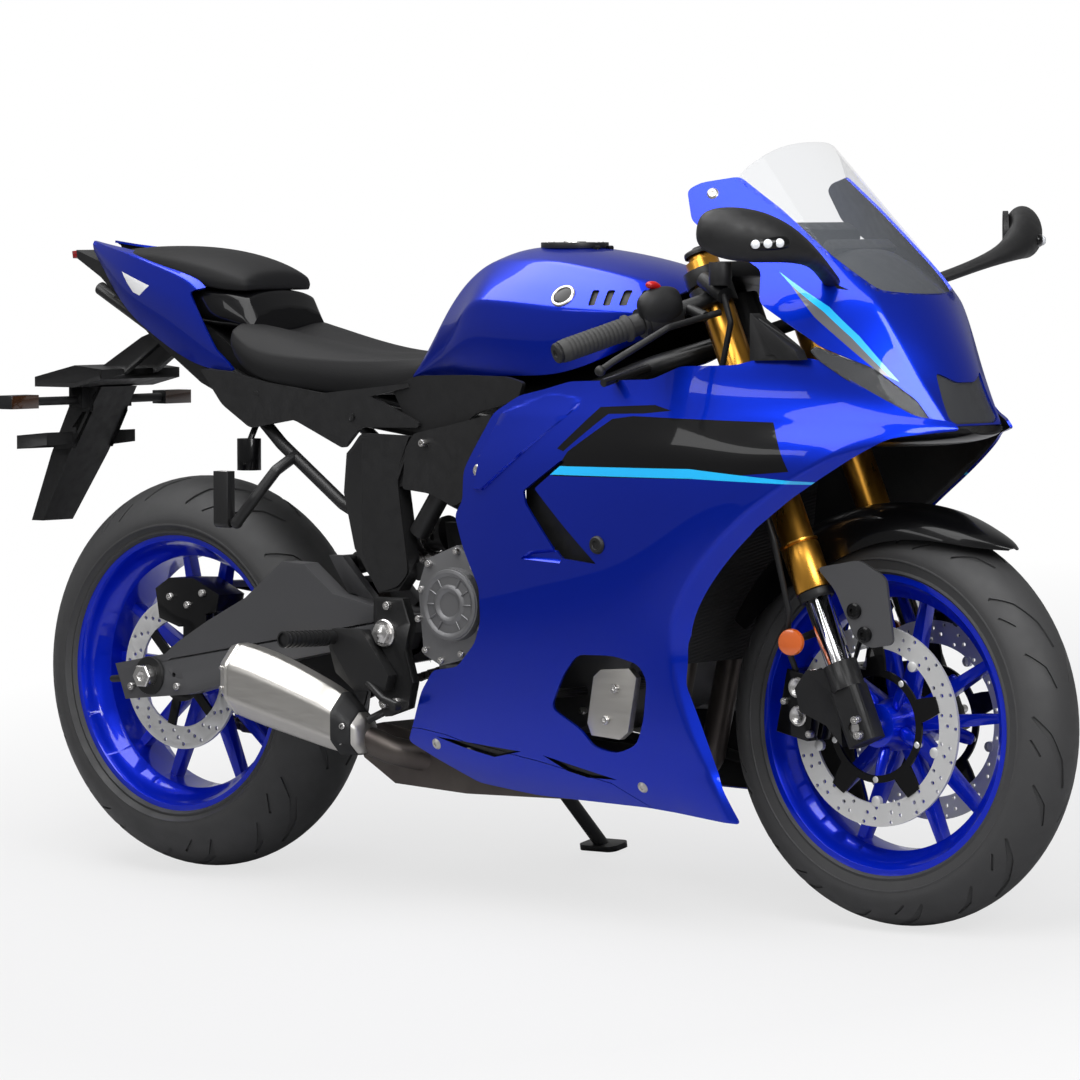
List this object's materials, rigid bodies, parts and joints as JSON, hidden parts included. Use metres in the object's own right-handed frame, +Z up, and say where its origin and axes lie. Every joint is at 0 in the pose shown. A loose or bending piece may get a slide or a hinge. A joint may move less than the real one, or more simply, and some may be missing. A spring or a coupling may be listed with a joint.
{
  "type": "motorcycle",
  "caption": "Faired sport motorcycle parked on its side stand, with turning wheels, steering, folding stand, hinged filler cap and folding pillion pegs.",
  "frame": {"origin": "on the floor under the middle of the overall box", "axes": "+X forward along the wheelbase, +Y to the rider's left, +Z up; the machine leans 10 degrees to its left about X"},
  "size_m": [2.06, 0.7982, 1.146],
  "materials": {
    "blue_paint": "gloss",
    "black_plastic": "matte",
    "black_gloss": "gloss",
    "black_metal": "satin",
    "gold_anodised": "satin",
    "chrome": "polished",
    "brushed_steel": "brushed",
    "dark_steel": "satin",
    "grey_cast": "satin",
    "grey_aluminium": "satin",
    "seat_cover": "matte",
    "tyre": "matte",
    "clear_screen": "clear",
    "lamp_lens": "clear",
    "red_lens": "gloss",
    "amber_lens": "gloss"
  },
  "bodies": {
    "chassis": {"frame": "black_metal", "engine_block": "grey_cast", "engine_covers": "grey_cast", "radiator": "black_metal", "exhaust_pipes": "dark_steel", "muffler": "brushed_steel", "fuel_tank": "blue_paint", "rider_seat": "seat_cover", "pillion_seat": "seat_cover", "tail_panels": "blue_paint", "undertail": "black_plastic", "side_covers": "black_plastic", "plate_holder": "black_plastic", "rear_lamps": "red_lens", "side_fairings": "blue_paint", "belly_panels": "blue_paint", "nose_cowl": "blue_paint", "front_lamps": "lamp_lens", "windscreen": "clear_screen", "cockpit": "black_plastic", "mirrors": "black_plastic", "foot_controls": "black_metal", "swingarm": "grey_aluminium", "rear_shock": "black_metal", "rear_axle": "brushed_steel", "rear_brake": "black_metal", "drive_chain": "brushed_steel"},
    "fork": {"yokes": "black_metal", "fork_outer_tubes": "gold_anodised", "fork_lower_legs": "chrome", "front_axle": "brushed_steel", "front_calipers": "black_metal", "front_mudguard": "black_gloss", "handlebars": "black_metal", "bar_controls": "black_plastic"},
    "front_wheel": {"front_rim": "blue_paint", "front_tyre": "tyre", "front_discs": "brushed_steel"},
    "rear_wheel": {"rear_rim": "blue_paint", "rear_tyre": "tyre", "rear_disc": "brushed_steel", "rear_sprocket": "brushed_steel"},
    "side_stand": {"side_stand": "black_metal"},
    "filler_cap": {"filler_cap": "grey_cast"},
    "pillion_peg_right": {"pillion_peg_right": "black_metal"},
    "pillion_peg_left": {"pillion_peg_left": "black_metal"}
  },
  "joints": [
    {"name": "steering", "type": "hinge", "parent": "chassis", "child": "fork", "pos_m": [0.44628, -0.03011, 0.84107], "axis": [-0.4015, 0.159, 0.902], "range_deg": [-25, 25]},
    {"name": "front_wheel_spin", "type": "hinge", "parent": "fork", "child": "front_wheel", "pos_m": [0.73, -0.12607, 0.29688], "axis": [0, 0.9848, -0.1736], "continuous": true},
    {"name": "rear_wheel_spin", "type": "hinge", "parent": "chassis", "child": "rear_wheel", "pos_m": [-0.665, -0.12346, 0.31165], "axis": [0, 0.9848, -0.1736], "continuous": true},
    {"name": "side_stand_fold", "type": "hinge", "parent": "chassis", "child": "side_stand", "pos_m": [-0.117, -0.01182, 0.20769], "axis": [0.0527, 0.8947, 0.4436], "range_deg": [0, 98]},
    {"name": "filler_cap_hinge", "type": "hinge", "parent": "chassis", "child": "filler_cap", "pos_m": [0.153, -0.00342, 0.99245], "axis": [0, 0.9848, -0.1736], "range_deg": [0, 95]},
    {"name": "pillion_peg_right_fold", "type": "hinge", "parent": "chassis", "child": "pillion_peg_right", "pos_m": [-0.465, -0.25778, 0.59224], "axis": [1, 0, 0], "range_deg": [0, 90]},
    {"name": "pillion_peg_left_fold", "type": "hinge", "parent": "chassis", "child": "pillion_peg_left", "pos_m": [-0.465, 0.09872, 0.52938], "axis": [-1, 0, 0], "range_deg": [0, 90]}
  ]
}
